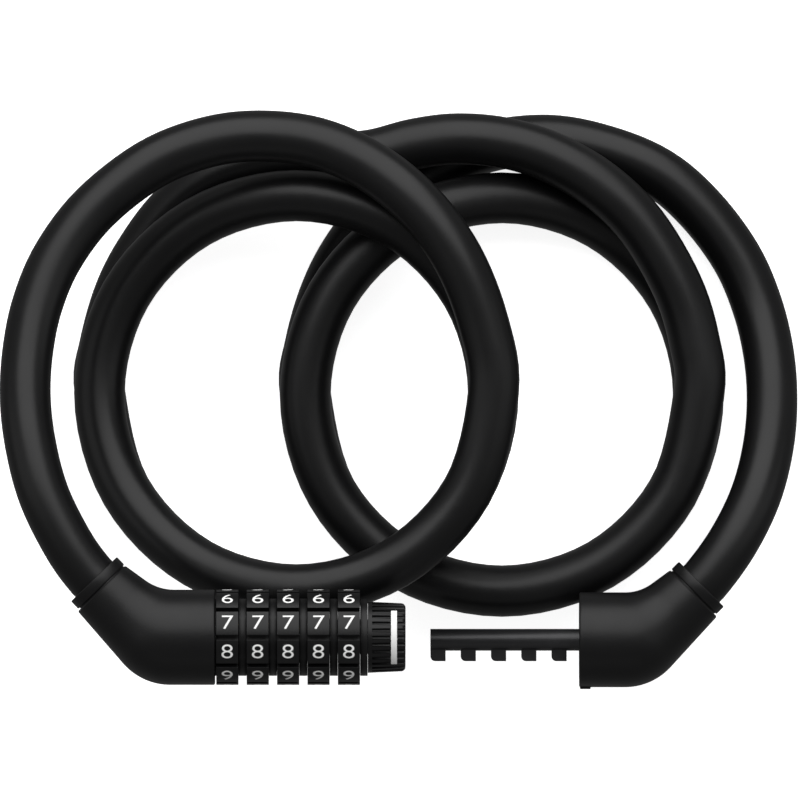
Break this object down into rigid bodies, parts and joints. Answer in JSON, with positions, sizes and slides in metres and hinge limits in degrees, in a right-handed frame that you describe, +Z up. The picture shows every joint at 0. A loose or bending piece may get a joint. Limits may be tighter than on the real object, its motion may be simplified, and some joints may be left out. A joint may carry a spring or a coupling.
{
  "type": "combination cable lock",
  "caption": "Coiled vinyl-covered steel cable lock with a resettable combination dial housing at one end and a toothed pin at the other.",
  "frame": {"origin": "on the table, under the middle of the box of the coiled lock as it lies", "axes": "+X along the lock from the dial housing towards the pin housing, +Y from the housings towards the far side of the coils, +Z up"},
  "size_m": [0.1858, 0.1339, 0.0666],
  "materials": {
    "housing_plastic": "satin black moulded plastic",
    "dial_plastic": "satin black with white printed digits",
    "knob_plastic": "satin black, fluted, with a white index line",
    "vinyl_cover": "smooth satin black vinyl",
    "blackened_steel": "blackened, satin",
    "brass_parts": "turned",
    "zinc_alloy": "die cast, dull grey",
    "bright_steel": "bright"
  },
  "bodies": {
    "lock_base": {"dial_elbow_shell": "housing_plastic", "dial_collar_ring": "housing_plastic", "dial_cable_ferrule": "zinc_alloy", "dial_anchor_pin": "bright_steel", "lock_sleeve": "zinc_alloy", "thrust_washer": "bright_steel", "clutch_spring": "bright_steel", "ejector_spring": "bright_steel", "ejector_stop": "bright_steel", "divider_1": "housing_plastic", "divider_2": "housing_plastic", "divider_3": "housing_plastic", "divider_4": "housing_plastic", "divider_5": "housing_plastic", "cable_cover": "vinyl_cover", "cable_core": "bright_steel", "pin_elbow_shell": "housing_plastic", "pin_collar_ring": "housing_plastic", "pin_cable_ferrule": "zinc_alloy", "pin_anchor_pin": "bright_steel", "toothed_pin": "blackened_steel", "pin_clamp_ring": "bright_steel"},
    "dial_1_body": {"dial_1": "dial_plastic", "code_ring_1": "brass_parts"},
    "dial_2_body": {"dial_2": "dial_plastic", "code_ring_2": "brass_parts"},
    "dial_3_body": {"dial_3": "dial_plastic", "code_ring_3": "brass_parts"},
    "dial_4_body": {"dial_4": "dial_plastic", "code_ring_4": "brass_parts"},
    "dial_5_body": {"dial_5": "dial_plastic", "code_ring_5": "brass_parts"},
    "reset_knob_body": {"reset_knob": "knob_plastic", "knob_retaining_ring": "bright_steel"},
    "ejector_body": {"ejector_plunger": "brass_parts"}
  },
  "joints": [
    {"name": "dial_1_turn", "type": "hinge", "parent": "lock_base", "child": "dial_1_body", "pos_m": [-0.04022, -0.0553, 0.0553], "axis": [1, 0, 0], "continuous": true},
    {"name": "dial_2_turn", "type": "hinge", "parent": "lock_base", "child": "dial_2_body", "pos_m": [-0.03315, -0.0553, 0.0553], "axis": [1, 0, 0], "continuous": true},
    {"name": "dial_3_turn", "type": "hinge", "parent": "lock_base", "child": "dial_3_body", "pos_m": [-0.02607, -0.0553, 0.0553], "axis": [1, 0, 0], "continuous": true},
    {"name": "dial_4_turn", "type": "hinge", "parent": "lock_base", "child": "dial_4_body", "pos_m": [-0.01898, -0.0553, 0.0553], "axis": [1, 0, 0], "continuous": true},
    {"name": "dial_5_turn", "type": "hinge", "parent": "lock_base", "child": "dial_5_body", "pos_m": [-0.01191, -0.0553, 0.0553], "axis": [1, 0, 0], "continuous": true},
    {"name": "reset_knob_turn", "type": "hinge", "parent": "lock_base", "child": "reset_knob_body", "pos_m": [-0.003, -0.0553, 0.0553], "axis": [1, 0, 0], "range_deg": [0, 90]},
    {"name": "ejector_slide", "type": "slide", "parent": "lock_base", "child": "ejector_body", "axis": [-1, 0, 0], "range_m": [0, 0.0038], "stiffness_N_per_m": 250, "springref_m": -0.004, "deforming": ["ejector_spring"]}
  ]
}
